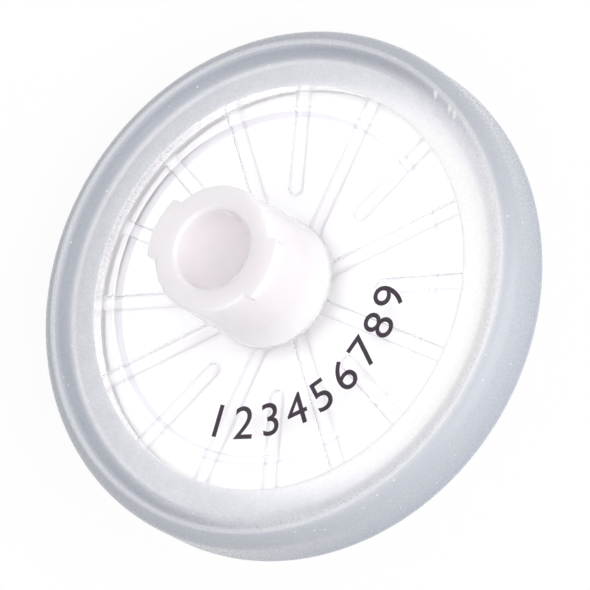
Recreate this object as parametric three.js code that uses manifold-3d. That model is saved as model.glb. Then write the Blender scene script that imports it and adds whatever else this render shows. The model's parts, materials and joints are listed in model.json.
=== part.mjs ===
// Syringe filter of the 25 mm disc class, lying on its rim and on the tip of its outlet.
//
// Lengths are in millimetres and angles in degrees. Each piece is drawn about its own axis, which
// is +Z and points out of the inlet, and z = 0 is the middle of the membrane. The finished stack
// is then tilted until it rests on z = 0, with the middle of its box over the origin.
//
// The membrane is clamped between two clear housings. The inlet housing ends in a female luer
// lock, the outlet housing in a male luer slip. A frosted ring is moulded over both flanges.

import * as THREE from 'three';
import { mergeVertices } from 'three/addons/utils/BufferGeometryUtils.js';
import Module from 'manifold-3d';

const wasm = await Module();
wasm.setup();

// ---------------------------------------------------------------- driving dimensions

// Membrane.
const membraneRadius = 12.4;
const membraneThickness = 0.2;
const membraneSegments = 64;

// Clearance left between two pieces that bear on each other.
const seatGap = 0.03;

// Flanges of the two housings, which clamp the edge of the membrane.
const sealWidth = 1.28;
const flangeMargin = 0.35;
const flangeThickness = 0.55;

// Plates and the ribs on their inner faces.
const inletPlateThickness = 1.2;
const outletPlateThickness = 1.0;
const ribHeight = 0.35;
const ribWidth = 0.8;
const longRibCount = 8;
const longRibStart = 1.9;
const shortRibStart = 5.4;
const firstRibAzimuth = 7;
const ribEndSegments = 6;

// Raised lip round the outer face of the inlet plate, and the apron that slopes away from it.
const apronWidth = 1.22;
const lipWidth = 0.37;
const lipTopWidth = 0.1;
const lipFlank = 0.24;
const lipRise = 0.63;
const lipOuterRise = 0.3;
const apronDrop = 0.28;

// Inlet: female luer lock.
const inletHeight = 6.9;
const inletTopRadius = 3.45;
const inletBaseRadius = 3.58;
const inletBaseFillet = 0.4;
const inletTopRound = 0.18;
const luerTaper = 0.06;
const luerLength = 7.5;
const femaleMouthDiameter = 4.3;
const mouthChamfer = 0.16;
const throatDiameter = 2;

// The two lugs of the luer lock.
const lugSpan = 7.83;
const lugAngle = 56;
const lugLand = 0.6;
const lugFlank = 0.45;
const lugTopChamfer = 0.12;

// Outlet: male luer slip.
const hubRadius = 3.1;
const hubHeight = 0.65;
const hubRound = 0.25;
const maleTipDiameter = 3.97;
const maleTipRound = 0.14;
const outletBoreDiameter = 2.1;

// Overmoulded ring.
const ringWall = 1.55;
const ringDish = 0.34;
const rimHeight = 0.4;
const rimSlopeWidth = 0.75;
const rimShoulderWidth = 0.8;
const rimShoulderDrop = 1;
const ringUnderCover = 0.97;
const ringUnderLip = 0.3;
const ringBottomRound = 0.6;

// Facets round the axis.
const discSegments = 96;
const tubeSegments = 48;
const roundSegments = 3;

// How far a cutter or a joined piece reaches past the face that it meets.
const overshoot = 0.2;

// ---------------------------------------------------------------- derived dimensions

const windowRadius = membraneRadius - sealWidth;
const flangeRadius = membraneRadius + flangeMargin;
const ringRadius = flangeRadius + ringWall;
const outletWindowRadius = windowRadius + ringUnderLip;

const landHeight = membraneThickness / 2 + seatGap;
const flangeTop = landHeight + flangeThickness;
const inletUnderside = landHeight + ribHeight;
const inletFloor = inletUnderside + inletPlateThickness;
const inletTop = inletFloor + inletHeight;
const windowEdge = inletFloor + lipOuterRise - apronDrop;

const lipOuterRadius = windowRadius - apronWidth;
const lipCrestRadius = lipOuterRadius - lipWidth;
const floorRadius = lipCrestRadius - lipFlank;

const flangeBottom = -landHeight - flangeThickness;
const outletCeiling = -landHeight - ribHeight;
const outletBottom = outletCeiling - outletPlateThickness;
const nozzleBase = outletBottom - hubHeight;
const nozzleTip = nozzleBase - luerLength;

const rimCrest = windowEdge + rimHeight;
const ringBottom = flangeBottom - ringUnderCover;

const maleTipRadius = maleTipDiameter / 2;
const nozzleBaseRadius = maleTipRadius + luerLength * luerTaper / 2;

// ---------------------------------------------------------------- helpers

const degrees = THREE.MathUtils.degToRad;

// Turns an outline of (radius, height) about +Z, with the middle of a facet towards -X.
function turn(outline, segments) {
  const points = outline.getPoints(roundSegments);
  return new THREE.LatheGeometry(points, segments, Math.PI / segments).rotateX(Math.PI / 2);
}

// An outline that starts at the first of the given (radius, height) corners.
function outlineFrom(corners) {
  const outline = new THREE.Path();
  outline.moveTo(...corners[0]);
  for (const corner of corners.slice(1)) {
    outline.lineTo(...corner);
  }
  return outline;
}

// Joins shared vertices and drops the triangles that collapse onto the axis.
function toSolid(geometry) {
  geometry.deleteAttribute('normal');
  geometry.deleteAttribute('uv');
  const merged = mergeVertices(geometry);
  const indices = merged.index.array;
  const triangles = [];
  for (let i = 0; i < indices.length; i += 3) {
    const [a, b, c] = indices.slice(i, i + 3);
    if (a !== b && b !== c && c !== a) {
      triangles.push(a, b, c);
    }
  }
  const mesh = new wasm.Mesh({
    numProp: 3,
    vertProperties: new Float32Array(merged.attributes.position.array),
    triVerts: new Uint32Array(triangles),
  });
  return new wasm.Manifold(mesh);
}

function toGeometry(solid) {
  const mesh = solid.getMesh();
  const geometry = new THREE.BufferGeometry();
  geometry.setAttribute('position', new THREE.BufferAttribute(mesh.vertProperties, 3));
  geometry.setIndex(new THREE.BufferAttribute(mesh.triVerts, 1));
  geometry.computeVertexNormals();
  return geometry;
}

// A prism on the given shape, from one height to another.
function prism(shape, bottom, top, divisions) {
  const settings = { depth: top - bottom, bevelEnabled: false, curveSegments: divisions };
  return new THREE.ExtrudeGeometry(shape, settings).translate(0, 0, bottom);
}

// ---------------------------------------------------------------- ribs

// One rib along +X, round at its inner end.
function ribShape(start, end) {
  const half = ribWidth / 2;
  const shape = new THREE.Shape();
  shape.moveTo(end, -half);
  shape.lineTo(end, half);
  shape.lineTo(start + half, half);
  shape.absarc(start + half, 0, half, Math.PI / 2, Math.PI * 3 / 2, false);
  shape.closePath();
  return shape;
}

// Long and short ribs in turn, from one height to another, joined to the given solid.
function withRibs(solid, bottom, top) {
  const step = 180 / longRibCount;
  let ribbed = solid;
  for (let i = 0; i < longRibCount * 2; i += 1) {
    const start = i % 2 === 0 ? longRibStart : shortRibStart;
    const rib = prism(ribShape(start, windowRadius + overshoot), bottom, top, ribEndSegments);
    rib.rotateZ(degrees(firstRibAzimuth + i * step));
    ribbed = ribbed.add(toSolid(rib));
  }
  return ribbed;
}

// ---------------------------------------------------------------- inlet housing

function inletPlate() {
  const outline = outlineFrom([
    [0, inletUnderside],
    [windowRadius, inletUnderside],
    [windowRadius, landHeight],
    [flangeRadius, landHeight],
    [flangeRadius, flangeTop],
    [windowRadius, flangeTop],
    [windowRadius, windowEdge],
    [lipOuterRadius, inletFloor + lipOuterRise],
  ]);
  const crest = inletFloor + lipRise;
  outline.quadraticCurveTo(lipCrestRadius + lipTopWidth, crest, lipCrestRadius, crest);
  outline.lineTo(floorRadius, inletFloor);
  outline.lineTo(0, inletFloor);
  return toSolid(turn(outline, discSegments));
}

function inletTube() {
  const outline = outlineFrom([
    [0, inletFloor - overshoot],
    [inletBaseRadius + inletBaseFillet, inletFloor - overshoot],
    [inletBaseRadius + inletBaseFillet, inletFloor],
  ]);
  outline.quadraticCurveTo(inletBaseRadius, inletFloor, inletBaseRadius, inletFloor + inletBaseFillet);
  outline.lineTo(inletTopRadius, inletTop - inletTopRound);
  outline.quadraticCurveTo(inletTopRadius, inletTop, inletTopRadius - inletTopRound, inletTop);
  outline.lineTo(0, inletTop);
  return toSolid(turn(outline, tubeSegments));
}

function inletBore() {
  const mouthRadius = femaleMouthDiameter / 2;
  const bottomRadius = mouthRadius - luerLength * luerTaper / 2;
  const throatRadius = throatDiameter / 2;
  const outline = outlineFrom([
    [0, inletUnderside - ribHeight],
    [throatRadius, inletUnderside - ribHeight],
    [throatRadius, inletTop - luerLength],
    [bottomRadius, inletTop - luerLength],
    [mouthRadius, inletTop - mouthChamfer],
    [mouthRadius + mouthChamfer, inletTop],
    [mouthRadius + mouthChamfer, inletTop + overshoot],
    [0, inletTop + overshoot],
  ]);
  return toSolid(turn(outline, tubeSegments));
}

// Two opposite wedges about the axis, as wide as the lugs.
function lugWedges(bottom, top) {
  const reach = lugSpan;
  const half = degrees(lugAngle / 2);
  const wedges = [0, 180].map((azimuth) => {
    const shape = new THREE.Shape();
    shape.moveTo(0, 0);
    shape.lineTo(reach * Math.cos(half), -reach * Math.sin(half));
    shape.lineTo(reach * Math.cos(half), reach * Math.sin(half));
    shape.closePath();
    return toSolid(prism(shape, bottom, top).rotateZ(degrees(firstRibAzimuth + azimuth)));
  });
  return wedges[0].add(wedges[1]);
}

// The lugs stand out from the rim of the inlet, in line with a pair of long ribs.
function inletLugs() {
  const lugRadius = lugSpan / 2;
  const rootRadius = inletTopRadius - overshoot;
  const landBottom = inletTop - lugTopChamfer - lugLand;
  const outline = outlineFrom([
    [rootRadius, landBottom - lugFlank],
    [inletTopRadius, landBottom - lugFlank],
    [lugRadius, landBottom],
    [lugRadius, inletTop - lugTopChamfer],
    [lugRadius - lugTopChamfer, inletTop],
    [rootRadius, inletTop],
    [rootRadius, landBottom - lugFlank],
  ]);
  const collar = toSolid(turn(outline, tubeSegments));
  return collar.intersect(lugWedges(landBottom - lugFlank - overshoot, inletTop + overshoot));
}

function inletHousing() {
  const body = inletPlate().add(inletTube()).add(inletLugs());
  const ribbed = withRibs(body, landHeight, inletUnderside + overshoot);
  return toGeometry(ribbed.subtract(inletBore()));
}

// ---------------------------------------------------------------- outlet housing

// The plate, with a low wall round the edge of the membrane.
function outletPlate() {
  const wallTop = landHeight - seatGap;
  const outline = outlineFrom([
    [0, outletBottom],
    [outletWindowRadius, outletBottom],
    [outletWindowRadius, flangeBottom],
    [flangeRadius, flangeBottom],
    [flangeRadius, wallTop],
    [membraneRadius + seatGap, wallTop],
    [membraneRadius + seatGap, -landHeight],
    [windowRadius, -landHeight],
    [windowRadius, outletCeiling],
    [0, outletCeiling],
  ]);
  return toSolid(turn(outline, discSegments));
}

// The outer edge of the nozzle's end, which touches the ground.
function tipEdge() {
  const outline = outlineFrom([[maleTipRadius - maleTipRound, nozzleTip]]);
  outline.quadraticCurveTo(maleTipRadius, nozzleTip, maleTipRadius, nozzleTip + maleTipRound);
  return outline;
}

function outletNozzle() {
  const outline = tipEdge();
  outline.lineTo(nozzleBaseRadius, nozzleBase);
  outline.lineTo(hubRadius - hubRound, nozzleBase);
  outline.quadraticCurveTo(hubRadius, nozzleBase, hubRadius, nozzleBase + hubRound);
  outline.lineTo(hubRadius, outletBottom + overshoot);
  outline.lineTo(0, outletBottom + overshoot);
  outline.lineTo(0, nozzleTip);
  outline.lineTo(maleTipRadius - maleTipRound, nozzleTip);
  return toSolid(turn(outline, tubeSegments));
}

function outletBore() {
  const boreRadius = outletBoreDiameter / 2;
  const outline = outlineFrom([
    [0, nozzleTip - overshoot],
    [boreRadius, nozzleTip - overshoot],
    [boreRadius, outletCeiling + ribHeight],
    [0, outletCeiling + ribHeight],
  ]);
  return toSolid(turn(outline, tubeSegments));
}

function outletHousing() {
  const ribbed = withRibs(outletPlate(), outletCeiling - overshoot, -landHeight);
  return toGeometry(ribbed.add(outletNozzle()).subtract(outletBore()));
}

// ---------------------------------------------------------------- overmoulded ring

// The outer lower edge of the section, which is what touches the ground.
function ringUnderEdge() {
  const outline = outlineFrom([[ringRadius - ringBottomRound, ringBottom]]);
  outline.quadraticCurveTo(ringRadius, ringBottom, ringRadius, ringBottom + ringBottomRound);
  return outline;
}

// A C-shaped section that grips both flanges, with a dished face inside a raised rim.
function overmouldRing() {
  const bandInner = windowRadius + seatGap;
  const bandOuter = flangeRadius + seatGap;
  const lipInner = outletWindowRadius + seatGap;
  const crestRadius = ringRadius - rimShoulderWidth;
  const footRadius = crestRadius - rimSlopeWidth;
  const footHeight = windowEdge - ringDish;
  const halfSlope = rimSlopeWidth / 2;
  const halfHeight = (rimCrest + footHeight) / 2;
  const outline = ringUnderEdge();
  outline.lineTo(ringRadius, rimCrest - rimShoulderDrop);
  outline.absellipse(
    crestRadius, rimCrest - rimShoulderDrop, rimShoulderWidth, rimShoulderDrop, 0, Math.PI / 2,
  );
  outline.quadraticCurveTo(crestRadius - halfSlope / 2, rimCrest, crestRadius - halfSlope, halfHeight);
  outline.quadraticCurveTo(footRadius, footHeight, footRadius - halfSlope, footHeight);
  outline.lineTo(bandInner, windowEdge);
  outline.lineTo(bandInner, flangeTop + seatGap);
  outline.lineTo(bandOuter, flangeTop + seatGap);
  outline.lineTo(bandOuter, flangeBottom - seatGap);
  outline.lineTo(lipInner, flangeBottom - seatGap);
  outline.lineTo(lipInner, ringBottom);
  outline.lineTo(ringRadius - ringBottomRound, ringBottom);
  return turn(outline, discSegments);
}

// ---------------------------------------------------------------- membrane

function membraneDisc() {
  const disc = new THREE.CylinderGeometry(
    membraneRadius, membraneRadius, membraneThickness, membraneSegments,
  );
  return disc.rotateX(Math.PI / 2);
}

// ---------------------------------------------------------------- materials

const clearPolypropylene = () => new THREE.MeshStandardMaterial({
  color: 0xefe8ec, roughness: 0.28, metalness: 0,
});

const frostedPolypropylene = () => new THREE.MeshStandardMaterial({
  color: 0xc6cdd8, roughness: 0.45, metalness: 0,
});

const whiteMembrane = () => new THREE.MeshStandardMaterial({
  color: 0xfbfbfb, roughness: 0.9, metalness: 0,
});

// ---------------------------------------------------------------- resting attitude

// The points of an outline, as far from the axis as the middle of a facet is.
function facetPoints(outline, segments) {
  const points = outline.getPoints(roundSegments);
  return points.map((point) => new THREE.Vector2(point.x * Math.cos(Math.PI / segments), point.y));
}

// The stack leans on the edge of its tip and the lower edge of its ring, with no point below.
function restTilt() {
  const ringPoints = facetPoints(ringUnderEdge(), discSegments);
  const tipPoints = facetPoints(tipEdge(), tubeSegments);
  const tilts = tipPoints.map((tip) => (
    Math.min(...ringPoints.map((ring) => Math.atan2(ring.y - tip.y, ring.x - tip.x)))
  ));
  return Math.max(...tilts);
}

// ---------------------------------------------------------------- assembly

function piece(name, geometry, material) {
  const mesh = new THREE.Mesh(geometry, material);
  mesh.name = name;
  return mesh;
}

const stack = new THREE.Group();
stack.add(piece('inlet_housing', inletHousing(), clearPolypropylene()));
stack.add(piece('outlet_housing', outletHousing(), clearPolypropylene()));
stack.add(piece('membrane', membraneDisc(), whiteMembrane()));
stack.add(piece('overmould_ring', overmouldRing(), frostedPolypropylene()));
stack.rotation.y = -restTilt();

const syringeFilter = new THREE.Group();
syringeFilter.add(stack);

const box = new THREE.Box3().setFromObject(syringeFilter, true);
const middle = box.getCenter(new THREE.Vector3());
stack.position.set(-middle.x, -middle.y, -box.min.z);

export default syringeFilter;
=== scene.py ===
"""The looks of a syringe filter, lying on a white table and seen from above."""

import json
import math

import bmesh
import bpy
from mathutils import Matrix, Vector

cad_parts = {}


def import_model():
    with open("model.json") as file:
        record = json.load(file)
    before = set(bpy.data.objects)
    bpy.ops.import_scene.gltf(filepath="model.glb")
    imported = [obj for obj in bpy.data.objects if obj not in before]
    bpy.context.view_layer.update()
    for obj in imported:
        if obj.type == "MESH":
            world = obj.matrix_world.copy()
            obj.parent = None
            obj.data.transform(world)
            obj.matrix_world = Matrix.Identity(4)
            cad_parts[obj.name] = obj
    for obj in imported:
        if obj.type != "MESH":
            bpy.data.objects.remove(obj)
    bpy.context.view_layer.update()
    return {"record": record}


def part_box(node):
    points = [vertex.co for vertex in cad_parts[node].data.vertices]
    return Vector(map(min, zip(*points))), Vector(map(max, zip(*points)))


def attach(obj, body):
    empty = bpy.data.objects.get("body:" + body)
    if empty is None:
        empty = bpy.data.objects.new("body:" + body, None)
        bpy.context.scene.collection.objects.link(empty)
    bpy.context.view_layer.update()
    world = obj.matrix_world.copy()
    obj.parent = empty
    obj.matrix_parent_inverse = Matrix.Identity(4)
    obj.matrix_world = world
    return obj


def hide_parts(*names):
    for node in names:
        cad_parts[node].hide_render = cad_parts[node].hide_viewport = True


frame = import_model()

# ------------------------------------------------------------------ sizes, in millimetres

MM = 0.001

MEMBRANE_RADIUS = 12.4
MEMBRANE_THICKNESS = 0.2
SEAT_GAP = 0.03

SEAL_WIDTH = 1.28
FLANGE_MARGIN = 0.35
FLANGE_THICKNESS = 0.55
INLET_PLATE = 1.2
OUTLET_PLATE = 1.0

RIB_HEIGHT = 0.35
RIB_WIDTH = 0.8
RIB_ROUND = 0.14
LONG_RIBS = 8
LONG_RIB_START = 1.9
SHORT_RIB_START = 5.4
FIRST_RIB_DEGREES = 7
RIB_END_STEPS = 12

APRON_WIDTH = 1.22
APRON_DROP = 0.28
LIP_WIDTH = 0.37
LIP_TOP_WIDTH = 0.1
LIP_FLANK = 0.24
LIP_RISE = 0.63
LIP_OUTER_RISE = 0.3
LIP_ROUND = 0.1

INLET_HEIGHT = 6.9
INLET_TOP_RADIUS = 3.45
INLET_BASE_RADIUS = 3.58
INLET_BASE_FILLET = 0.4
INLET_TOP_ROUND = 0.18
BORE_ROUND = 0.1
LUER_TAPER = 0.06
LUER_LENGTH = 7.5
MOUTH_RADIUS = 2.15
MOUTH_CHAMFER = 0.16
THROAT_RADIUS = 1.0

LUG_RADIUS = 3.915
LUG_DEGREES = 56
LUG_LAND = 0.6
LUG_FLANK = 0.45
LUG_TOP_CHAMFER = 0.12
LUG_ROUND = 0.06
LUG_STEPS = 28
LUG_END_STEPS = 2          # a lug rises to its full size over this many steps

HUB_RADIUS = 3.1
HUB_HEIGHT = 0.65
HUB_ROUND = 0.25
HUB_FILLET = 0.15
TIP_RADIUS = 1.985
TIP_ROUND = 0.14
OUTLET_BORE_RADIUS = 1.05

RING_WALL = 1.538
RING_DISH = 0.34
RIM_HEIGHT = 0.4
RIM_SLOPE_WIDTH = 0.75
RIM_SHOULDER_WIDTH = 0.8
RIM_SHOULDER_DROP = 1.0
RING_UNDER_COVER = 0.97
RING_UNDER_LIP = 0.3
RING_BOTTOM_ROUND = 0.6

WITNESS_WIDTH = 0.07       # the fine line that the mould leaves along the rim's crest
WITNESS_HEIGHT = 0.025
WITNESS_FLANK = 0.25       # the share of its width that each flank takes
PARTING_HEIGHT = -0.9      # the mould's parting line around the wall
PARTING_WIDTH = 0.06
PARTING_DEPTH = 0.02
NICK_DEGREES = (70.5, 72.5, 78)
NICK_WIDTH = 0.14
NICK_HEIGHT = 0.07

PRINT = "123456789"
PRINT_HEIGHT = 1.6
PRINT_THICKNESS = 0.02
PRINT_RADIUS = 8.9
PRINT_ASIDE = -1.15        # the print runs round a point this far along X from the axis
PRINT_FIRST_DEGREES = -73
PRINT_STEP_DEGREES = 11.4
PRINT_GAP = 0.002
CAP_HEIGHT = 0.62          # the height of a digit in the lettering, as a share of its size
LETTER_STEPS = 6

EDGE = 0.05                # the small round that moulding leaves on an edge
RING_FIT = 0.005           # the ring is moulded onto the plates, so it all but touches them
OVERSHOOT = 0.2            # how far a joined or cut piece reaches past the face that it meets

DISC_SEGMENTS = 288
ARC_STEPS = 6
SHOULDER_STEPS = 12
SMOOTH_DEGREES = 32        # edges sharper than this stay sharp
ON_AXIS = 1e-6             # a point this near the axis lies on it
SAME_POINT = 1e-4

# ------------------------------------------------------------------ sizes that follow

window_radius = MEMBRANE_RADIUS - SEAL_WIDTH
flange_radius = MEMBRANE_RADIUS + FLANGE_MARGIN
ring_radius = flange_radius + RING_WALL
outlet_window_radius = window_radius + RING_UNDER_LIP

land = MEMBRANE_THICKNESS / 2 + SEAT_GAP
flange_top = land + FLANGE_THICKNESS
inlet_underside = land + RIB_HEIGHT
inlet_floor = inlet_underside + INLET_PLATE
inlet_top = inlet_floor + INLET_HEIGHT
window_edge = inlet_floor + LIP_OUTER_RISE - APRON_DROP

lip_outer_radius = window_radius - APRON_WIDTH
lip_crest_radius = lip_outer_radius - LIP_WIDTH
floor_radius = lip_crest_radius - LIP_FLANK

flange_bottom = -land - FLANGE_THICKNESS
outlet_ceiling = -land - RIB_HEIGHT
outlet_bottom = outlet_ceiling - OUTLET_PLATE
nozzle_base = outlet_bottom - HUB_HEIGHT
nozzle_tip = nozzle_base - LUER_LENGTH

rim_crest = window_edge + RIM_HEIGHT
crest_radius = ring_radius - RIM_SHOULDER_WIDTH
ring_bottom = flange_bottom - RING_UNDER_COVER

# ------------------------------------------------------------------ the filter's own frame


def filter_matrix():
    """Millimetres about the filter's axis, with the membrane's middle at 0, to the row's frame."""
    low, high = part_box("membrane")
    mounts = {mount["name"]: mount for mount in frame["record"]["mounts"]}
    axis = Vector(mounts["inlet_luer_face"]["axis"])
    tilt = math.atan2(-axis.x, axis.z)
    place = Matrix.Translation((low + high) / 2)
    return place @ Matrix.Rotation(-tilt, 4, "Y") @ Matrix.Scale(MM, 4)


to_row = filter_matrix()

# ------------------------------------------------------------------ outlines


def rounded(corners):
    """A closed outline of (radius, height), with an arc at each corner that gives a third number."""
    points = []
    for index, corner in enumerate(corners):
        here = Vector(corner[:2])
        size = corner[2] if len(corner) > 2 else 0
        if not size:
            points.append(here)
            continue
        back = (Vector(corners[index - 1][:2]) - here).normalized()
        ahead = (Vector(corners[(index + 1) % len(corners)][:2]) - here).normalized()
        half = back.angle(ahead) / 2
        centre = here + (back + ahead).normalized() * size / math.sin(half)
        start = here + back * size / math.tan(half) - centre
        turn = back.angle_signed(-ahead)
        for step in range(ARC_STEPS + 1):
            points.append(centre + Matrix.Rotation(-turn * step / ARC_STEPS, 2) @ start)
    return points


def curve(start, control, end):
    """The points after the start of a quadratic curve."""
    a, b, c = Vector(start), Vector(control), Vector(end)
    shares = [step / ARC_STEPS for step in range(1, ARC_STEPS + 1)]
    return [a * (1 - t) ** 2 + b * 2 * t * (1 - t) + c * t ** 2 for t in shares]


# ------------------------------------------------------------------ mesh helpers


def lathe(outline, segments):
    """A closed mesh: the outline turned about the axis. Points on the axis become one vertex."""
    mesh = bmesh.new()
    columns = []
    poles = {}
    for index, point in enumerate(outline):
        if point[0] < ON_AXIS:
            poles[index] = mesh.verts.new((0, 0, point[1]))
    for segment in range(segments):
        angle = math.tau * segment / segments
        cos, sin = math.cos(angle), math.sin(angle)
        columns.append([
            poles[index] if index in poles else mesh.verts.new((point[0] * cos, point[0] * sin, point[1]))
            for index, point in enumerate(outline)
        ])
    count = len(outline)
    for segment in range(segments):
        here, there = columns[segment], columns[(segment + 1) % segments]
        for index in range(count):
            following = (index + 1) % count
            loop = [here[index], there[index], there[following], here[following]]
            corners = list(dict.fromkeys(loop))
            if len(corners) > 2:
                mesh.faces.new(corners)
    return mesh


def loft(levels):
    """A closed mesh through loops of equal length, from the lowest to the highest."""
    mesh = bmesh.new()
    rings = [[mesh.verts.new(point) for point in level] for level in levels]
    for lower, upper in zip(rings, rings[1:]):
        for index in range(len(lower)):
            following = (index + 1) % len(lower)
            mesh.faces.new([lower[index], lower[following], upper[following], upper[index]])
    mesh.faces.new(list(reversed(rings[0])))
    mesh.faces.new(rings[-1])
    return mesh


def to_object(name, mesh):
    """A new object in millimetres from one bmesh."""
    bmesh.ops.recalc_face_normals(mesh, faces=mesh.faces)
    data = bpy.data.meshes.new(name)
    mesh.to_mesh(data)
    mesh.free()
    piece = bpy.data.objects.new(name, data)
    bpy.context.scene.collection.objects.link(piece)
    return piece


def merge(parts):
    """One bmesh from several that don't touch."""
    whole = bmesh.new()
    for part in parts:
        data = bpy.data.meshes.new("part")
        part.to_mesh(data)
        part.free()
        whole.from_mesh(data)
        bpy.data.meshes.remove(data)
    return whole


def apply_modifiers(piece):
    """Bakes a piece's modifiers into its mesh."""
    graph = bpy.context.evaluated_depsgraph_get()
    data = bpy.data.meshes.new_from_object(piece.evaluated_get(graph))
    piece.modifiers.clear()
    old = piece.data
    piece.data = data
    bpy.data.meshes.remove(old)


def combine(piece, mesh, operation):
    """Joins a bmesh to a piece, or cuts it out of the piece."""
    tool = to_object("tool", mesh)
    boolean = piece.modifiers.new("combine", "BOOLEAN")
    boolean.operation = operation
    boolean.solver = "EXACT"
    boolean.object = tool
    apply_modifiers(piece)
    bpy.data.objects.remove(tool)


def finish_piece(piece, node, material):
    """Smooths a piece, puts it in the row's frame and lets it stand for its CAD node."""
    data = piece.data
    data.shade_smooth()
    data.set_sharp_from_angle(angle=math.radians(SMOOTH_DEGREES))
    weighted = piece.modifiers.new("weighted", "WEIGHTED_NORMAL")
    weighted.keep_sharp = True
    apply_modifiers(piece)
    piece.data.transform(to_row)
    piece.data.name = piece.name
    piece.data.materials.clear()
    piece.data.materials.append(material)
    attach(piece, "root")
    if node:
        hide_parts(node)
    return piece


# ------------------------------------------------------------------ ribs


def rib(start, end, bottom, top, round_at_top):
    """One rib along +X, half round at its inner end, with rounded edges on its free face."""
    half = RIB_WIDTH / 2
    free, root = (top, bottom) if round_at_top else (bottom, top)
    step_in = math.copysign(RIB_ROUND, root - free)
    levels = [(root, 0)]
    for step in range(ARC_STEPS + 1):
        angle = math.pi / 2 * step / ARC_STEPS
        levels.append((free + step_in * (1 - math.sin(angle)), RIB_ROUND * (1 - math.cos(angle))))
    loops = []
    for height, inset in sorted(levels):
        width = half - inset
        loop = [(end, -width, height), (end, width, height)]
        for step in range(RIB_END_STEPS + 1):
            angle = math.pi / 2 + math.pi * step / RIB_END_STEPS
            loop.append((start + half + width * math.cos(angle), width * math.sin(angle), height))
        loops.append(loop)
    return loft(loops)


def ribs(bottom, top, round_at_top):
    """Long and short ribs in turn."""
    parts = []
    for index in range(LONG_RIBS * 2):
        start = LONG_RIB_START if index % 2 == 0 else SHORT_RIB_START
        part = rib(start, window_radius + OVERSHOOT, bottom, top, round_at_top)
        turn = math.radians(FIRST_RIB_DEGREES + index * 180 / LONG_RIBS)
        bmesh.ops.rotate(part, verts=part.verts, matrix=Matrix.Rotation(turn, 3, "Z"))
        parts.append(part)
    return merge(parts)


# ------------------------------------------------------------------ inlet housing


def inlet_outline():
    """Flange, window, lip, floor, tube and tapered bore, as one closed section."""
    bore_bottom = inlet_top - LUER_LENGTH
    bore_radius = MOUTH_RADIUS - LUER_LENGTH * LUER_TAPER / 2
    crest = inlet_floor + LIP_RISE
    return rounded([
        (THROAT_RADIUS, inlet_underside, EDGE),
        (window_radius, inlet_underside),
        (window_radius, land, EDGE),
        (flange_radius, land, EDGE),
        (flange_radius, flange_top, EDGE),
        (window_radius, flange_top),
        (window_radius, window_edge),
        (lip_outer_radius, inlet_floor + LIP_OUTER_RISE, EDGE),
        (lip_crest_radius + LIP_TOP_WIDTH, crest - EDGE, LIP_ROUND),
        (lip_crest_radius, crest, EDGE),
        (floor_radius, inlet_floor, EDGE),
        (INLET_BASE_RADIUS, inlet_floor, INLET_BASE_FILLET),
        (INLET_TOP_RADIUS, inlet_top, INLET_TOP_ROUND),
        (MOUTH_RADIUS + MOUTH_CHAMFER, inlet_top, EDGE),
        (MOUTH_RADIUS, inlet_top - MOUTH_CHAMFER, EDGE),
        (bore_radius, bore_bottom, BORE_ROUND),
        (THROAT_RADIUS, bore_bottom, BORE_ROUND),
    ])


def lug(degrees):
    """One lug of the luer lock: a curved tab with a sloped underside."""
    land_bottom = inlet_top - LUG_TOP_CHAMFER - LUG_LAND
    root = INLET_TOP_RADIUS - OVERSHOOT
    section = rounded([
        (root, land_bottom - LUG_FLANK),
        (INLET_TOP_RADIUS, land_bottom - LUG_FLANK),
        (LUG_RADIUS, land_bottom, LUG_ROUND),
        (LUG_RADIUS, inlet_top - LUG_TOP_CHAMFER, LUG_ROUND),
        (LUG_RADIUS - LUG_TOP_CHAMFER, inlet_top, LUG_ROUND),
        (root, inlet_top),
    ])
    proud = LUG_RADIUS - INLET_TOP_RADIUS
    loops = []
    for step in range(LUG_STEPS + 1):
        share = step / LUG_STEPS
        angle = math.radians(degrees + LUG_DEGREES * (share - 0.5))
        reach = min(1, min(share, 1 - share) * LUG_STEPS / LUG_END_STEPS)
        loop = []
        for radius, height in section:
            outward = max(0, radius - INLET_TOP_RADIUS)
            size = radius - outward * (1 - math.sqrt(reach)) * min(1, outward / proud)
            loop.append((size * math.cos(angle), size * math.sin(angle), height))
        loops.append(loop)
    return loft(loops)


def inlet_housing(material):
    piece = to_object("inlet_shell", lathe(inlet_outline(), DISC_SEGMENTS))
    combine(piece, merge([lug(FIRST_RIB_DEGREES), lug(FIRST_RIB_DEGREES + 180)]), "UNION")
    combine(piece, ribs(land, inlet_underside + OVERSHOOT, False), "UNION")
    return finish_piece(piece, "inlet_housing", material)


# ------------------------------------------------------------------ outlet housing


def outlet_outline():
    """Plate, membrane seat, hub and tapered nozzle, as one closed section."""
    wall_top = land - SEAT_GAP
    base_radius = TIP_RADIUS + LUER_LENGTH * LUER_TAPER / 2
    return rounded([
        (OUTLET_BORE_RADIUS, nozzle_tip, EDGE),
        (TIP_RADIUS, nozzle_tip, TIP_ROUND),
        (base_radius, nozzle_base, HUB_FILLET),
        (HUB_RADIUS, nozzle_base, HUB_ROUND),
        (HUB_RADIUS, outlet_bottom, HUB_FILLET),
        (outlet_window_radius, outlet_bottom, EDGE),
        (outlet_window_radius, flange_bottom),
        (flange_radius, flange_bottom, EDGE),
        (flange_radius, wall_top, EDGE),
        (MEMBRANE_RADIUS + SEAT_GAP, wall_top),
        (MEMBRANE_RADIUS + SEAT_GAP, -land),
        (window_radius, -land, EDGE),
        (window_radius, outlet_ceiling),
        (OUTLET_BORE_RADIUS, outlet_ceiling, EDGE),
    ])


def outlet_housing(material):
    piece = to_object("outlet_shell", lathe(outlet_outline(), DISC_SEGMENTS))
    combine(piece, ribs(outlet_ceiling - OVERSHOOT, -land, True), "UNION")
    return finish_piece(piece, "outlet_housing", material)


# ------------------------------------------------------------------ overmoulded ring


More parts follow.
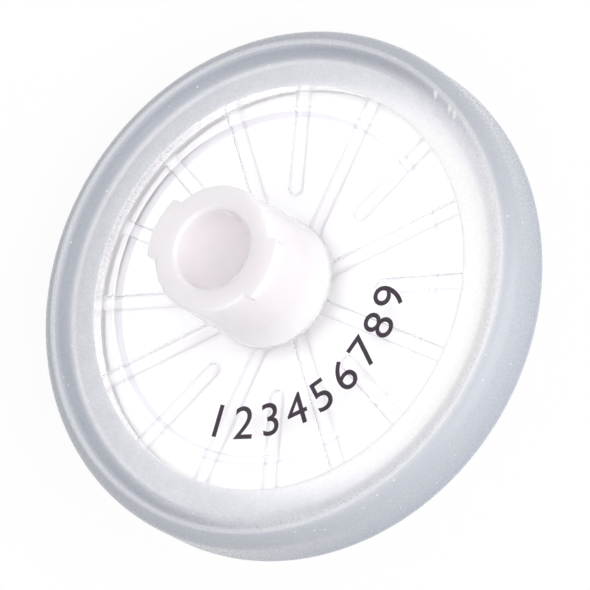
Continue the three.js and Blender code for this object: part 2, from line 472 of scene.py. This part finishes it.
def rim_face():
    """The rim's inner slope and its foot, from the crest inwards."""
    foot_radius = crest_radius - RIM_SLOPE_WIDTH
    foot_height = window_edge - RING_DISH
    half_slope = RIM_SLOPE_WIDTH / 2
    middle = (crest_radius - half_slope, (rim_crest + foot_height) / 2)
    slope = curve((crest_radius, rim_crest), (crest_radius - half_slope / 2, rim_crest), middle)
    foot = curve(middle, (foot_radius, foot_height), (foot_radius - half_slope, foot_height))
    return slope + foot


def ring_outline():
    """A C-shaped section that grips both flanges, with a dished face inside a raised rim."""
    band_inner = window_radius + RING_FIT
    band_outer = flange_radius + RING_FIT
    lip_inner = outlet_window_radius + RING_FIT
    shoulder = []
    for step in range(SHOULDER_STEPS):
        angle = math.pi / 2 * step / SHOULDER_STEPS
        shoulder.append(Vector((
            crest_radius + RIM_SHOULDER_WIDTH * math.cos(angle),
            rim_crest - RIM_SHOULDER_DROP + RIM_SHOULDER_DROP * math.sin(angle),
        )))
    witness = [
        Vector((crest_radius + WITNESS_WIDTH, rim_crest)),
        Vector((crest_radius + WITNESS_WIDTH * (1 - WITNESS_FLANK), rim_crest + WITNESS_HEIGHT)),
        Vector((crest_radius + WITNESS_WIDTH * WITNESS_FLANK, rim_crest + WITNESS_HEIGHT)),
        Vector((crest_radius, rim_crest)),
    ]
    inside = rounded([
        (band_inner, window_edge),
        (band_inner, flange_top + RING_FIT),
        (band_outer, flange_top + RING_FIT),
        (band_outer, flange_bottom - RING_FIT),
        (lip_inner, flange_bottom - RING_FIT),
        (lip_inner, ring_bottom, EDGE),
        (ring_radius, ring_bottom, RING_BOTTOM_ROUND),
        (ring_radius, PARTING_HEIGHT),
        (ring_radius - PARTING_DEPTH, PARTING_HEIGHT),
        (ring_radius - PARTING_DEPTH, PARTING_HEIGHT + PARTING_WIDTH),
        (ring_radius, PARTING_HEIGHT + PARTING_WIDTH),
    ])
    return inside + shoulder + witness + rim_face()


def nick(degrees):
    """A small ridge on the rim's inner slope, from just inside the crest to just past the middle."""
    half = NICK_WIDTH / 2
    upper_slope = rim_face()[1:ARC_STEPS + 2]
    loops = []
    for radius, height in upper_slope:
        loops.append([
            (radius, -half, height - OVERSHOOT),
            (radius, half, height - OVERSHOOT),
            (radius - NICK_HEIGHT, half / 2, height + NICK_HEIGHT),
            (radius - NICK_HEIGHT, -half / 2, height + NICK_HEIGHT),
        ])
    ridge = loft(loops)
    bmesh.ops.rotate(ridge, verts=ridge.verts, matrix=Matrix.Rotation(math.radians(degrees), 3, "Z"))
    return ridge


def overmould_ring(material):
    piece = to_object("frosted_ring", lathe(ring_outline(), DISC_SEGMENTS))
    combine(piece, merge([nick(degrees) for degrees in NICK_DEGREES]), "UNION")
    return finish_piece(piece, "overmould_ring", material)


# ------------------------------------------------------------------ membrane


def membrane(material):
    half = MEMBRANE_THICKNESS / 2
    outline = rounded([
        (0, -half),
        (MEMBRANE_RADIUS, -half, EDGE),
        (MEMBRANE_RADIUS, half, EDGE),
        (0, half),
    ])
    piece = to_object("membrane_film", lathe(outline, DISC_SEGMENTS))
    return finish_piece(piece, "membrane", material)


# ------------------------------------------------------------------ print


def digit(character, place, size):
    """One thin digit, as a closed mesh."""
    lettering = bpy.data.curves.new("lettering", "FONT")
    lettering.body = character
    lettering.size = size
    lettering.align_x = "CENTER"
    lettering.extrude = PRINT_THICKNESS / 2
    lettering.resolution_u = LETTER_STEPS
    writer = bpy.data.objects.new("writer", lettering)
    data = bpy.data.meshes.new_from_object(writer)
    mesh = bmesh.new()
    mesh.from_mesh(data)
    bpy.data.objects.remove(writer)
    bpy.data.curves.remove(lettering)
    bpy.data.meshes.remove(data)
    bmesh.ops.remove_doubles(mesh, verts=mesh.verts, dist=SAME_POINT)
    bmesh.ops.transform(mesh, verts=mesh.verts, matrix=place)
    return mesh


def printed_numbers(material):
    """Plain numbers round an arc of the floor, with their heads towards the tube."""
    middle = inlet_floor + PRINT_GAP + PRINT_THICKNESS / 2
    digits = []
    for index, character in enumerate(PRINT):
        turn = math.radians(PRINT_FIRST_DEGREES + index * PRINT_STEP_DEGREES)
        about = Matrix.Translation((PRINT_ASIDE, 0, middle)) @ Matrix.Rotation(turn, 4, "Z")
        place = about @ Matrix.Translation((PRINT_RADIUS, 0, 0)) @ Matrix.Rotation(math.pi / 2, 4, "Z")
        digits.append(digit(character, place, PRINT_HEIGHT / CAP_HEIGHT))
    piece = to_object("printed_numbers", merge(digits))
    return finish_piece(piece, None, material)


# ------------------------------------------------------------------ finish of the clear plastic

CLEAR_COLOURS = ((0.98, 0.972, 0.983, 1), (0.99, 0.986, 0.992, 1))
STEEP_SHADE_COLOUR = (0.70, 0.685, 0.735, 1)          # painted grey shade on the sides of the ribs and of the lip
TUBE_COLOURS = ((0.80, 0.757, 0.79, 1), (0.81, 0.773, 0.802, 1))
# painted light at the tube's foot
TUBE_FOOT_LIGHT_COLOUR = (0.89, 0.875, 0.885, 1)
# painted light in the bore
BORE_LIGHT_COLOUR = (0.935, 0.885, 0.912, 1)

MILKY_START = 0.1                 # the connectors turn milky from this far outside the plates
TUBE_MILKY = 1.0                  # up to here on the tube
NOZZLE_MILKY = 0.8                # and up to here on the nozzle
MILKY_END_RADII = (4.2, 4.6)      # the plates stay clear outside these
TUBE_FOOT_LIGHT_RISE = (1.0, 3.5)       # the tube's colour runs from the painted light at its foot to its own between these
BORE_FADE = 0.1
BORE_MARGIN = 0.02
RIB_SIDE_START = 0.03             # the painted grey shade of a rib's side stops short of its free face
RIB_SIDE_END = 0.06               # and of the plate
RIB_SIDE_SOFT = 0.025
RIB_SIDE_SHARE = 0.65
LIP_SIDE_RISE = (0.03, 0.12)      # the painted grey shade of the lip's flanks starts between these, above the floor
INNER_FLANK_SOFT = 0.04
OUTER_FLANK_WIDTH = 0.1
OUTER_FLANK_SOFT = 0.03
OUTER_FLANK_SHARE = 0.7
CLOUDS_PER_MM = 0.5

PLATE_ROUGHNESS = (0.18, 0.4)     # polished, and at its dullest
MILKY_DULLNESS = 0.3              # shares of the way from one to the other
LIP_DULLNESS = 0.2
LIP_FADE = 0.1
INNER_FACE_FADE = 0.1
DULL_PER_MM = 3
DULL_DEPTH = 0.02
RIPPLES_PER_MM = 1.2
RIPPLE_STRENGTH = 0.3
CLEAR_IOR = 1.11                  # less than the plastic's own 1.49, so the plate's edges stay pale
CLEAR_GLOSS = 1.0
TUBE_COAT = 0.8
TUBE_COAT_ROUGHNESS = 0.25
TUBE_SCATTER = (1.0, 0.95, 1.0)   # how far each colour scatters, as a share of the depth
TUBE_SCATTER_DEPTH = 2.0

FLANGE_FADE = 0.3                 # the lamps' light passes the plate past the lip, under the ring
FLANGE_PASS = 0.95
MILKY_PASS = 0.9
GLOW_CENTRE = (2.5, 0)            # the light that the tube lets through falls round this point
GLOW_RADII = (3.5, 7.5)
GLOW_PASS = (0.7, 0.25)

# ------------------------------------------------------------------ finish of the frosted ring

RIM_COLOURS = ((0.473, 0.493, 0.54, 1), (0.505, 0.525, 0.57, 1))
# painted shade: the wall's colours at its foot
WALL_FOOT_SHADE_COLOURS = ((0.383, 0.412, 0.475, 1), (0.413, 0.442, 0.505, 1))
SLOPE_SHADE_COLOUR = (0.31, 0.34, 0.41, 1)
CREST_HIGHLIGHT_COLOUR = (0.61, 0.625, 0.66, 1)
DISH_COLOURS = ((0.74, 0.748, 0.785, 1), (0.785, 0.791, 0.825, 1))
LIT_DISH_COLOUR = (0.932, 0.921, 0.972, 1)
CONTACT_GLOW_COLOUR = (0.99, 0.987, 0.992, 1)        # painted light on the hidden faces that grip the plates
NICK_COLOUR = (0.93, 0.93, 0.94, 1)
SPECK_COLOUR = (0.98, 0.98, 0.98, 1)

SLOPE_SHADE_BAND = (0.6, 0.3)           # the slope's band of painted shade, from here to here inside the crest
SLOPE_SHADE_SOFT = 0.08
SLOPE_SHADE_SHARE = 0.25
CREST_HIGHLIGHT_HALF_WIDTH = 0.1            # the crest's painted highlight line
CREST_HIGHLIGHT_SOFT = 0.08
MILK_END = (0.95, 0.65)           # the milky dish fades out between these, inside the crest
LIT_SIDE_CENTRE = (1.3, 0.1)         # on the side of this point the painted light of the milky dish reaches the crest
LIT_SIDE_RADII = (MEMBRANE_RADIUS - 0.3, MEMBRANE_RADIUS + 1.1)
LIT_SIDE_CREST_FADE = (0.05, 0.45)         # the painted light on that side fades from inside the crest to outside it
LIT_SIDE_CREST_MILK = 0.12
LIT_DISH_CENTRE = (2.0, 0.7)       # painted light makes the dish palest round this point
LIT_DISH_FADE = 0.9
CONTACT_RISE = (0.3, 0.6)         # the contact faces' painted light ends between these, above the flange
CONTACT_REACH = (0.05, 0.15)      # and between these, outside it
NICK_INSIDE_CREST = 0.25
NICK_SPOT = (0.1, 0.22)           # the pale spot round a nick fades out between these
NICK_SHARE = 0.8
MOTTLE_PER_MM = 1.6

SPECKS_PER_MM = 2.2
SPECK_RADIUS = 0.055
SPECK_SHARE = 0.22                # of the pattern's cells hold a speck
SPECK_CORE = 0.7                  # of a speck's radius is fully pale
SPECK_STRENGTH = 0.7
THIN_STEP = 0.001

FROSTED_ROUGHNESS = (0.32, 0.24)
FROSTED_IOR = 1.5
FROSTED_SCATTER = (1.0, 1.0, 1.05)
FROSTED_SCATTER_DEPTH = 0.45
MILKY_SCATTER_DEPTH = 2.2         # on the milky part of the slope
MILKY_SLOPE = (0.7, 0.05)         # from here to here inside the crest
MILKY_SLOPE_SOFT = 0.1
GRAIN_START = (0.02, 0.1)         # the grain starts between these, outside the window
GRAIN_STRENGTH = 0.18
WALL_GRAIN = 0.3                  # what is left of it on the wall
WALL_GRAIN_INSET = 0.2
RING_PASS = (0.95, 0.4)           # of the lamps' light, by the flange and at the crest
RING_PASS_START = 0.1

# ------------------------------------------------------------------ finish of the rest

FILM_COLOURS = ((0.915, 0.915, 0.92, 1), (0.935, 0.935, 0.935, 1))
FILM_ROUGHNESS = (0.85, 0.95)
FILM_BUMP = 0.01
FILM_BUMP_STRENGTH = 0.4

INK_COLOURS = ((0.018, 0.008, 0.02, 1), (0.04, 0.022, 0.04, 1))
INK_ROUGHNESS = (0.45, 0.6)
INK_PATCHES_PER_MM = 4
INK_BUMP = 0.004
INK_BUMP_STRENGTH = 0.5

TABLE_COLOUR = (0.85, 0.85, 0.85, 1)
TABLE_ROUGHNESS = 0.8
TABLE_WHITE = 0.9                 # the rest of what looks at the table sees its shaded paint

GRAIN_PER_MM = 7
FINE_NOISE = (4, 0.6)             # detail and roughness of the finer patterns
WIDE_RANGE = (0.3, 0.7)           # most of a noise lies between these
NARROW_RANGE = (0.35, 0.65)       # for patches with plainer edges
FINE_BUMP = 0.002

# ------------------------------------------------------------------ materials


class Nodes:
    """A short way to write a material's nodes, with places in millimetres in the filter's own frame."""

    def __init__(self, name):
        self.material = bpy.data.materials.new(name)
        self.material.use_nodes = True
        self.tree = self.material.node_tree
        self.shader = self.tree.nodes["Principled BSDF"]
        self.surface = self.shader.outputs[0]
        row_to_filter = to_row.inverted()
        seen = self.add("ShaderNodeTexCoord").outputs["Object"]
        mapping = self.add("ShaderNodeMapping", {"Vector": seen})
        mapping.inputs["Location"].default_value = row_to_filter.translation
        mapping.inputs["Rotation"].default_value = row_to_filter.to_euler()
        mapping.inputs["Scale"].default_value = row_to_filter.to_scale()
        self.place = mapping.outputs[0]

    def add(self, kind, inputs=None, **settings):
        """A new node, with its settings and inputs."""
        node = self.tree.nodes.new(kind)
        for key, value in settings.items():
            setattr(node, key, value)
        for key, value in (inputs or {}).items():
            self.set(node.inputs[key], value)
        return node

    def set(self, socket, value):
        """Links another socket to this one, or writes a plain value on it."""
        if isinstance(value, bpy.types.NodeSocket):
            self.tree.links.new(value, socket)
        else:
            socket.default_value = value

    def give(self, inputs):
        """Sets the surface's own inputs."""
        for name, value in inputs.items():
            self.set(self.shader.inputs[name], value)

    def noise(self, per_mm, detail=3.0, roughness=0.55):
        inputs = {"Vector": self.place, "Scale": per_mm, "Detail": detail, "Roughness": roughness}
        return self.add("ShaderNodeTexNoise", inputs).outputs[0]

    def ramp(self, factor, low, high, first, last):
        """A value between two others, as the factor goes from low to high."""
        inputs = {"Value": factor, "From Min": low, "From Max": high, "To Min": first, "To Max": last}
        node = self.add("ShaderNodeMapRange", inputs, clamp=True, interpolation_type="SMOOTHSTEP")
        return node.outputs[0]

    def band(self, factor, low, high, soft):
        """1 between two limits and 0 beyond them, with soft ends."""
        rise = self.ramp(factor, low - soft, low, 0, 1)
        fall = self.ramp(factor, high, high + soft, 1, 0)
        return self.times(rise, fall)

    def plus(self, first, second):
        return self.add("ShaderNodeMath", {0: first, 1: second}, operation="ADD").outputs[0]

    def times(self, first, second):
        return self.add("ShaderNodeMath", {0: first, 1: second}, operation="MULTIPLY").outputs[0]

    def larger(self, first, second):
        return self.add("ShaderNodeMath", {0: first, 1: second}, operation="MAXIMUM").outputs[0]

    def blend(self, factor, first, last):
        """A colour between two others. The node's colour sockets share their names, so they go by number."""
        node = self.add("ShaderNodeMix", data_type="RGBA")
        self.set(node.inputs[0], factor)
        self.set(node.inputs[6], first)
        self.set(node.inputs[7], last)
        return node.outputs[2]

    def height(self):
        """Height along the filter's axis."""
        return self.add("ShaderNodeSeparateXYZ", {"Vector": self.place}).outputs["Z"]

    def radius(self, centre=(0, 0)):
        """Distance from the filter's axis, or from a line beside it."""
        from_line = {0: self.place, 1: (*centre, 0)}
        moved = self.add("ShaderNodeVectorMath", from_line, operation="SUBTRACT").outputs[0]
        flat = self.add("ShaderNodeVectorMath", {0: moved, 1: (1, 1, 0)}, operation="MULTIPLY").outputs[0]
        return self.add("ShaderNodeVectorMath", {0: flat}, operation="LENGTH").outputs["Value"]

    def specks(self, per_mm, radius_mm, share):
        """Small round spots, in this share of the cells of a random pattern."""
        cells = self.add("ShaderNodeTexVoronoi", {"Vector": self.place, "Scale": per_mm})
        reach = radius_mm * per_mm
        spot = self.ramp(cells.outputs["Distance"], reach * SPECK_CORE, reach, 1, 0)
        chance = self.add("ShaderNodeSeparateColor", {"Color": cells.outputs["Color"]}).outputs[0]
        chosen = self.ramp(chance, 1 - share, 1 - share + THIN_STEP, 0, 1)
        return self.times(spot, chosen)

    def bump(self, height, depth_mm, strength=1.0):
        """Small unevenness, this deep."""
        inputs = {"Height": height, "Distance": depth_mm * MM, "Strength": strength}
        self.set(self.shader.inputs["Normal"], self.add("ShaderNodeBump", inputs).outputs["Normal"])

    def mix_in(self, other, share):
        """Gives this share of the surface to another shader."""
        mix = self.add("ShaderNodeMixShader", {0: share})
        self.tree.links.new(self.surface, mix.inputs[1])
        self.tree.links.new(other.outputs[0], mix.inputs[2])
        self.surface = mix.outputs[0]
        self.tree.links.new(self.surface, self.tree.nodes["Material Output"].inputs["Surface"])

    def pass_lamps(self, share):
        """Lets this share of the lamps' light straight through, as thin milky plastic does."""
        shadow = self.add("ShaderNodeLightPath").outputs["Is Shadow Ray"]
        self.mix_in(self.add("ShaderNodeBsdfTransparent"), self.times(shadow, share))


def milky_share(nodes, height, radius):
    """1 in the inlet tube and in the outlet nozzle, and 0 in the plates."""
    above = nodes.ramp(height, inlet_floor + MILKY_START, inlet_floor + TUBE_MILKY, 0, 1)
    below = nodes.ramp(height, outlet_bottom - MILKY_START, outlet_bottom - NOZZLE_MILKY, 0, 1)
    near = nodes.ramp(radius, *MILKY_END_RADII, 1, 0)
    return nodes.times(nodes.larger(above, below), near)


def steep_shade_share(nodes, height, radius):
    """1 on the sides of the ribs and on the lip's flanks, where grey shade is painted into the clear plate.
    """
    depth = nodes.add("ShaderNodeMath", {0: height}, operation="ABSOLUTE").outputs[0]
    rib_side = nodes.band(depth, land + RIB_SIDE_START, inlet_underside - RIB_SIDE_END, RIB_SIDE_SOFT)
    past_floor = nodes.ramp(height, *(inlet_floor + rise for rise in LIP_SIDE_RISE), 0, 1)
    inner = nodes.band(radius, floor_radius, lip_crest_radius - INNER_FLANK_SOFT, INNER_FLANK_SOFT)
    outer = nodes.band(radius, lip_outer_radius - OUTER_FLANK_WIDTH, lip_outer_radius, OUTER_FLANK_SOFT)
    flanks = nodes.larger(inner, nodes.times(outer, OUTER_FLANK_SHARE))
    return nodes.larger(nodes.times(rib_side, RIB_SIDE_SHARE), nodes.times(past_floor, flanks))


def clear_plastic_colour(nodes, height, radius, milky):
    """Clear plates with painted grey shade on the sides of their ribs and lip, and a milky tube with painted
    light at its foot and in its bore.
    """
    cloud = nodes.ramp(nodes.noise(CLOUDS_PER_MM), *NARROW_RANGE, 0, 1)
    # painted grey shade on the sides of the ribs and of the lip
    steep_shade = steep_shade_share(nodes, height, radius)
    plate = nodes.blend(steep_shade, nodes.blend(cloud, *CLEAR_COLOURS), STEEP_SHADE_COLOUR)
    # painted light: the tube is paler towards its foot
    foot = nodes.ramp(height, *(inlet_floor + rise for rise in TUBE_FOOT_LIGHT_RISE), 1, 0)
    tube = nodes.blend(foot, nodes.blend(cloud, *TUBE_COLOURS), TUBE_FOOT_LIGHT_COLOUR)
    # painted light in the bore
    in_bore = nodes.ramp(radius, MOUTH_RADIUS - BORE_FADE, MOUTH_RADIUS + BORE_MARGIN, 1, 0)
    return nodes.blend(nodes.times(milky, in_bore), nodes.blend(milky, plate, tube), BORE_LIGHT_COLOUR)


def clear_plastic_roughness(nodes, height, radius, milky):
    """Polished outside, duller on the connectors, and dullest on the plates' inner faces."""
    inner_face = nodes.ramp(height, inlet_underside - EDGE, inlet_underside + INNER_FACE_FADE, 1, 0)
    edge = nodes.ramp(radius, floor_radius - LIP_FADE, floor_radius, 0, LIP_DULLNESS)
    dullness = nodes.larger(inner_face, nodes.larger(edge, nodes.times(milky, MILKY_DULLNESS)))
    uneven = nodes.ramp(nodes.noise(DULL_PER_MM), *WIDE_RANGE, -DULL_DEPTH, DULL_DEPTH)
    return nodes.plus(nodes.ramp(dullness, 0, 1, *PLATE_ROUGHNESS), uneven)


def clear_plastic():
    """Natural polypropylene: clear where the plate is thin and polished, milky in the two connectors."""
    nodes = Nodes("clear_polypropylene")
    height, radius = nodes.height(), nodes.radius()
    milky = milky_share(nodes, height, radius)
    nodes.give({
        "Base Color": clear_plastic_colour(nodes, height, radius, milky),
        "Roughness": clear_plastic_roughness(nodes, height, radius, milky),
        "Transmission Weight": nodes.ramp(milky, 0, 1, 1, 0),
        "IOR": CLEAR_IOR,
        "Specular IOR Level": CLEAR_GLOSS,
        "Coat Weight": nodes.ramp(milky, 0, 1, 0, TUBE_COAT),
        "Coat Roughness": TUBE_COAT_ROUGHNESS,
        "Subsurface Weight": 1,
        "Subsurface Radius": TUBE_SCATTER,
        "Subsurface Scale": TUBE_SCATTER_DEPTH * MM,
    })
    nodes.bump(nodes.noise(RIPPLES_PER_MM), FINE_BUMP, RIPPLE_STRENGTH)
    flange = nodes.ramp(radius, floor_radius, lip_outer_radius + FLANGE_FADE, 0, FLANGE_PASS)
    behind_tube = nodes.ramp(nodes.radius(GLOW_CENTRE), *GLOW_RADII, *GLOW_PASS)
    nodes.pass_lamps(nodes.larger(nodes.larger(flange, behind_tube), nodes.times(milky, MILKY_PASS)))
    return nodes.material


def wall_colour(nodes, height, radius, grain):
    """The frosted plastic of the rim and wall, with painted shade downwards and on the slope, and a painted
    highlight at the crest.
    """
    # painted shade: the wall is darker towards its foot
    foot = nodes.ramp(height, ring_bottom, rim_crest - RIM_SHOULDER_DROP, 1, 0)
    wall = nodes.blend(foot, nodes.blend(grain, *RIM_COLOURS), nodes.blend(grain, *WALL_FOOT_SHADE_COLOURS))
    # painted shade in a band on the rim's inner slope
    slope = nodes.band(radius, *(crest_radius - inset for inset in SLOPE_SHADE_BAND), SLOPE_SHADE_SOFT)
    wall = nodes.blend(nodes.times(slope, SLOPE_SHADE_SHARE), wall, SLOPE_SHADE_COLOUR)
    # painted highlight along the crest
    crest = nodes.band(radius, crest_radius - CREST_HIGHLIGHT_HALF_WIDTH, crest_radius + CREST_HIGHLIGHT_HALF_WIDTH, CREST_HIGHLIGHT_SOFT)
    return nodes.blend(crest, wall, CREST_HIGHLIGHT_COLOUR)


def dish_colour(nodes):
    """The milky dish: painted light makes it white on one side of the filter, and it is mottled and faintly
    blue on the other.
    """
    mottle = nodes.ramp(nodes.noise(MOTTLE_PER_MM, *FINE_NOISE), *WIDE_RANGE, 0, 1)
    lit_dish_radii = (window_radius - LIT_DISH_FADE, window_radius + LIT_DISH_FADE)
    # painted light: the dish is palest round a point beside the axis
    lit_dish = nodes.ramp(nodes.radius(LIT_DISH_CENTRE), *lit_dish_radii, 1, 0)
    return nodes.blend(lit_dish, nodes.blend(mottle, *DISH_COLOURS), LIT_DISH_COLOUR)


def contact_glow_share(nodes, height, radius):
    """1 on the ring's hidden faces against the plates, which carry painted light, and 0 on its open ones."""
    low = nodes.ramp(height, *(flange_top + rise for rise in CONTACT_RISE), 1, 0)
    inner = nodes.ramp(radius, *(flange_radius + reach for reach in CONTACT_REACH), 1, 0)
    return nodes.times(low, inner)


def nick_share(nodes, degrees):
    """A soft spot round one nick."""
    turn = math.radians(degrees)
    distance = crest_radius - NICK_INSIDE_CREST
    spot = nodes.radius((distance * math.cos(turn), distance * math.sin(turn)))
    return nodes.ramp(spot, *NICK_SPOT, NICK_SHARE, 0)


def frosted_plastic():
    """The overmoulded ring: milky in its dish, frosted and slightly blue in its rim, with a fine grain, and
    with painted light and shade on its dish, slope, crest, wall and hidden faces.
    """
    nodes = Nodes("frosted_polypropylene")
    height, radius = nodes.height(), nodes.radius()
    grain = nodes.ramp(nodes.noise(GRAIN_PER_MM, *FINE_NOISE), *WIDE_RANGE, 0, 1)

    middle = nodes.ramp(radius, *(crest_radius - inset for inset in MILK_END), 1, 0)
    # painted light: on one side of the filter the milky white reaches out to the crest
    aside = nodes.ramp(nodes.radius(LIT_SIDE_CENTRE), *LIT_SIDE_RADII, 1, 0)
    inside = nodes.ramp(radius, crest_radius - LIT_SIDE_CREST_FADE[0], crest_radius + LIT_SIDE_CREST_FADE[1], 1, LIT_SIDE_CREST_MILK)
    milk_and_light = nodes.larger(middle, nodes.times(aside, inside))
    body = nodes.blend(milk_and_light, wall_colour(nodes, height, radius, grain), dish_colour(nodes))
    # painted light on the ring's hidden faces against the plates
    body = nodes.blend(contact_glow_share(nodes, height, radius), body, CONTACT_GLOW_COLOUR)
    for degrees in NICK_DEGREES:
        body = nodes.blend(nick_share(nodes, degrees), body, NICK_COLOUR)
    speck_strength = nodes.ramp(radius, window_radius, MEMBRANE_RADIUS, 0, SPECK_STRENGTH)
    specks = nodes.times(nodes.specks(SPECKS_PER_MM, SPECK_RADIUS, SPECK_SHARE), speck_strength)

    slope = nodes.band(radius, *(crest_radius - inset for inset in MILKY_SLOPE), MILKY_SLOPE_SOFT)
    depths = (FROSTED_SCATTER_DEPTH * MM, MILKY_SCATTER_DEPTH * MM)
    nodes.give({
        "Base Color": nodes.blend(specks, body, SPECK_COLOUR),
        "Roughness": nodes.ramp(grain, 0, 1, *FROSTED_ROUGHNESS),
        "IOR": FROSTED_IOR,
        "Subsurface Weight": 1,
        "Subsurface Radius": FROSTED_SCATTER,
        "Subsurface Scale": nodes.ramp(nodes.times(aside, slope), 0, 1, *depths),
    })
    past_window = nodes.ramp(radius, *(window_radius + reach for reach in GRAIN_START), 0, GRAIN_STRENGTH)
    before_wall = nodes.ramp(radius, crest_radius, ring_radius - WALL_GRAIN_INSET, 1, WALL_GRAIN)
    nodes.bump(grain, FINE_BUMP, nodes.times(past_window, before_wall))
    nodes.pass_lamps(nodes.ramp(radius, flange_radius + RING_PASS_START, crest_radius, *RING_PASS))
    return nodes.material


def white_film():
    """The membrane: white, matt and faintly fibrous."""
    nodes = Nodes("white_membrane")
    fibre = nodes.noise(GRAIN_PER_MM, *FINE_NOISE)
    nodes.give({
        "Base Color": nodes.blend(fibre, *FILM_COLOURS),
        "Roughness": nodes.ramp(fibre, *WIDE_RANGE, *FILM_ROUGHNESS),
    })
    nodes.bump(fibre, FILM_BUMP, FILM_BUMP_STRENGTH)
    return nodes.material


def ink():
    """Pad-printed ink: almost black, faintly uneven."""
    nodes = Nodes("printed_ink")
    patches = nodes.ramp(nodes.noise(INK_PATCHES_PER_MM), *NARROW_RANGE, 0, 1)
    nodes.give({
        "Base Color": nodes.blend(patches, *INK_COLOURS),
        "Roughness": nodes.ramp(patches, 0, 1, *INK_ROUGHNESS),
    })
    nodes.bump(patches, INK_BUMP, INK_BUMP_STRENGTH)
    return nodes.material


def table_top():
    """White where something looks at it, with a soft shadow, and pale paint to the light it scatters."""
    nodes = Nodes("white_table")
    nodes.give({"Base Color": TABLE_COLOUR, "Roughness": TABLE_ROUGHNESS})
    path = nodes.add("ShaderNodeLightPath")
    through = nodes.larger(path.outputs["Is Glossy Ray"], path.outputs["Is Transmission Ray"])
    looked_at = nodes.larger(path.outputs["Is Camera Ray"], through)
    nodes.mix_in(nodes.add("ShaderNodeEmission"), nodes.times(looked_at, TABLE_WHITE))
    return nodes.material


# ------------------------------------------------------------------ stage, light and camera

TABLE_REACH = 3.0          # these lengths are in metres
WORLD_LIGHT = 0.37

LAMP_DISTANCE = 0.6
OVERHEAD_ELEVATION = 90
OVERHEAD_SIZE = 1.2
OVERHEAD_POWER = 4.25
SIDE_AZIMUTH = 25
SIDE_ELEVATION = 35
SIDE_SIZE = 0.8
SIDE_POWER = 2.2

CAMERA_DISTANCE = 0.3
CAMERA_NEAREST = 0.01
SENSOR_MM = 36
VIEW_WIDTH = 0.03115
CAMERA_ROLL = 30.4
CAMERA_ASIDE = 0.00117
CAMERA_BELOW = 0.00057


def stage():
    mesh = bmesh.new()
    bmesh.ops.create_grid(mesh, x_segments=1, y_segments=1, size=TABLE_REACH)
    table = to_object("table", mesh)
    table.data.materials.append(table_top())


def world():
    """White to whatever looks at it, and a faint even light on everything."""
    scene = bpy.context.scene
    scene.world = bpy.data.worlds.new("studio")
    scene.world.use_nodes = True
    tree = scene.world.node_tree
    lit = tree.nodes["Background"]
    lit.inputs["Color"].default_value = (1, 1, 1, 1)
    lit.inputs["Strength"].default_value = WORLD_LIGHT
    white = tree.nodes.new("ShaderNodeBackground")
    white.inputs["Color"].default_value = (1, 1, 1, 1)
    path = tree.nodes.new("ShaderNodeLightPath")
    seen = path.outputs["Is Camera Ray"]
    for other in ("Is Glossy Ray", "Is Transmission Ray"):
        either = tree.nodes.new("ShaderNodeMath")
        either.operation = "MAXIMUM"
        tree.links.new(seen, either.inputs[0])
        tree.links.new(path.outputs[other], either.inputs[1])
        seen = either.outputs[0]
    mix = tree.nodes.new("ShaderNodeMixShader")
    tree.links.new(seen, mix.inputs[0])
    tree.links.new(lit.outputs[0], mix.inputs[1])
    tree.links.new(white.outputs[0], mix.inputs[2])
    tree.links.new(mix.outputs[0], tree.nodes["World Output"].inputs["Surface"])


def softbox(name, azimuth, elevation, size, power):
    """A round soft lamp that points at the filter, by its azimuth from +X and its angle above the table."""
    data = bpy.data.lights.new(name, "AREA")
    data.shape = "DISK"
    data.size = size
    data.energy = power
    lamp = bpy.data.objects.new(name, data)
    turn, rise = math.radians(azimuth), math.radians(elevation)
    away = Vector((math.cos(turn) * math.cos(rise), math.sin(turn) * math.cos(rise), math.sin(rise)))
    lamp.location = away * LAMP_DISTANCE
    lamp.rotation_euler = away.to_track_quat("Z", "Y").to_euler()
    lamp.visible_camera = False
    bpy.context.scene.collection.objects.link(lamp)


def camera():
    """Straight above the lying filter, turned so that its inlet leans to the upper left."""
    data = bpy.data.cameras.new("camera")
    data.sensor_width = SENSOR_MM
    data.lens = SENSOR_MM * CAMERA_DISTANCE / VIEW_WIDTH
    data.clip_start = CAMERA_NEAREST
    cam = bpy.data.objects.new("camera", data)
    target = to_row @ Vector((0, 0, inlet_floor + LIP_OUTER_RISE))
    roll = Matrix.Rotation(math.radians(CAMERA_ROLL), 4, "Z")
    aside = roll @ Vector((CAMERA_ASIDE, -CAMERA_BELOW, 0))
    cam.matrix_world = Matrix.Translation(target + aside + Vector((0, 0, CAMERA_DISTANCE))) @ roll
    bpy.context.scene.collection.objects.link(cam)
    bpy.context.scene.camera = cam


# ------------------------------------------------------------------ build


clear = clear_plastic()
inlet_housing(clear)
outlet_housing(clear)
membrane(white_film())
overmould_ring(frosted_plastic())
printed_numbers(ink())

stage()
world()
softbox("overhead", 0, OVERHEAD_ELEVATION, OVERHEAD_SIZE, OVERHEAD_POWER)
softbox("right", SIDE_AZIMUTH, SIDE_ELEVATION, SIDE_SIZE, SIDE_POWER)
camera()

bpy.context.scene.view_settings.view_transform = "Standard"
